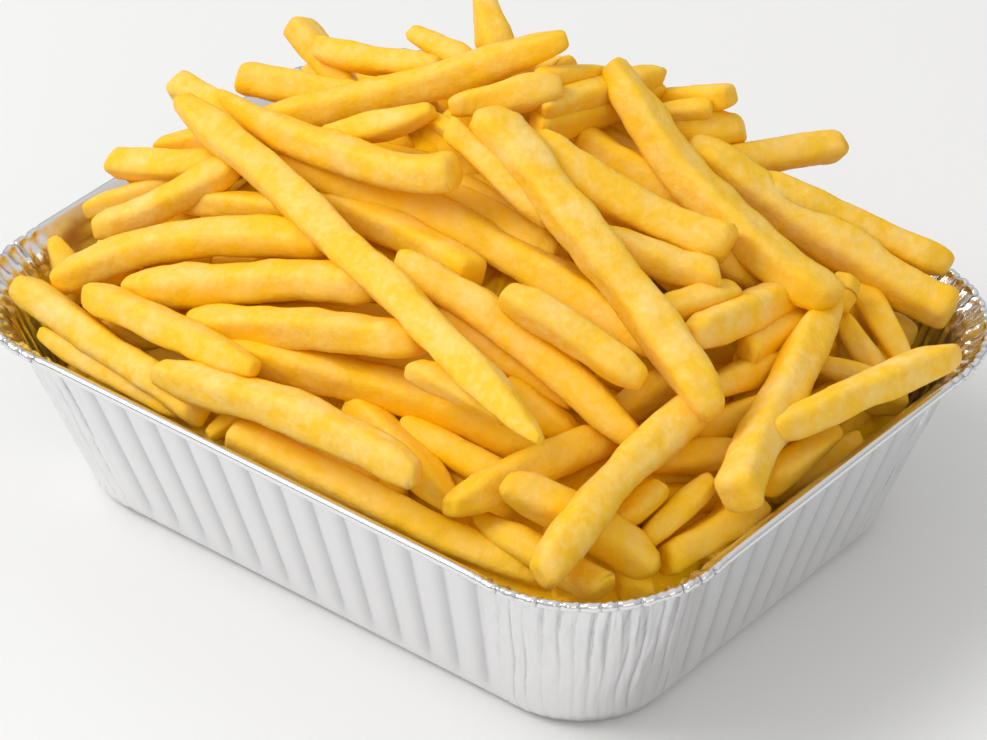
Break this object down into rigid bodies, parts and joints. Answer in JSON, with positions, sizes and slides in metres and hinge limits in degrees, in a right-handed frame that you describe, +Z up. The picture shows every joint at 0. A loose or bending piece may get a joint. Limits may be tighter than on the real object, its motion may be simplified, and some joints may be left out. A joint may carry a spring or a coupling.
{
  "type": "french fries heaped in an oblong aluminium foil takeaway tray",
  "caption": "French fries heaped well above the flange of an oblong pleated aluminium foil takeaway tray.",
  "frame": {"origin": "centre of the tray's base, on the table", "axes": "+X along the tray's long side, +Y to the back long wall, +Z up"},
  "size_m": [0.2094, 0.165, 0.1126],
  "materials": {
    "foil": "bright pressed foil, finely crumpled at the corners",
    "fried_potato": "fried crust with a thin film of oil"
  },
  "bodies": {
    "root": {"foil_tray": "foil", "fries_heap": "fried_potato"}
  },
  "joints": []
}
